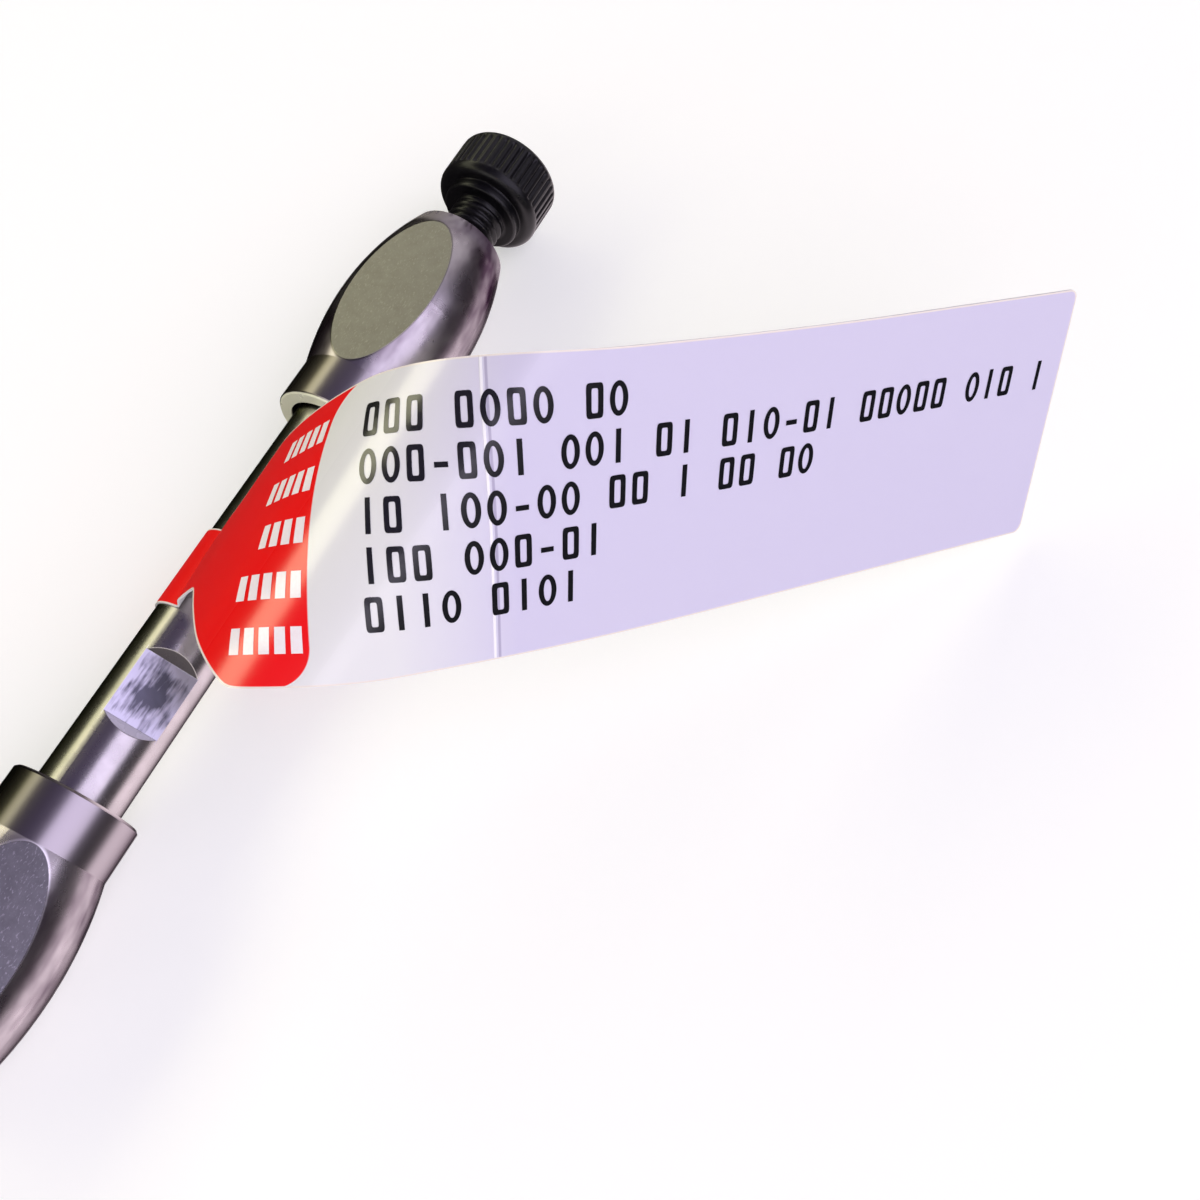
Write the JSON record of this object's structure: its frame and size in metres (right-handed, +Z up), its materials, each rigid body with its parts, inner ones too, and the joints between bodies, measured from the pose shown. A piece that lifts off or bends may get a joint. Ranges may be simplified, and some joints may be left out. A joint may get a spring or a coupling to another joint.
{
  "type": "liquid chromatography column",
  "caption": "Short packed steel column for liquid chromatography, lying on a bench, with a screw plug in its inlet and a bent label flag on its tube.",
  "frame": {"origin": "centre of the mouth of the open outlet port", "axes": "+X along the column towards the plugged inlet, +Z up from the bench, label flag towards -Y"},
  "size_m": [0.0864, 0.0582, 0.0293],
  "materials": {
    "tube_steel": "drawn and ground stainless tube, satin with fine turning marks",
    "fitting_steel": "turned and polished stainless steel, satin milled flats",
    "sintered_steel": "matt porous sinter",
    "seal_polymer": "natural beige engineering polymer",
    "packing": "packed white silica powder",
    "black_polymer": "moulded black polymer with a soft sheen",
    "label_film": "glossy white film with a red tab and tail and printed bars"
  },
  "bodies": {
    "column": {"column_tube": "tube_steel", "packed_bed": "packing", "outlet_end_fitting": "fitting_steel", "inlet_end_fitting": "fitting_steel", "outlet_frit": "sintered_steel", "inlet_frit": "sintered_steel", "outlet_frit_ring": "seal_polymer", "inlet_frit_ring": "seal_polymer", "label": "label_film"},
    "plug": {"inlet_plug": "black_polymer"}
  },
  "joints": [
    {"name": "plug_pull", "type": "slide", "parent": "column", "child": "plug", "axis": [1, 0, 0], "range_m": [0, 0.008]}
  ]
}
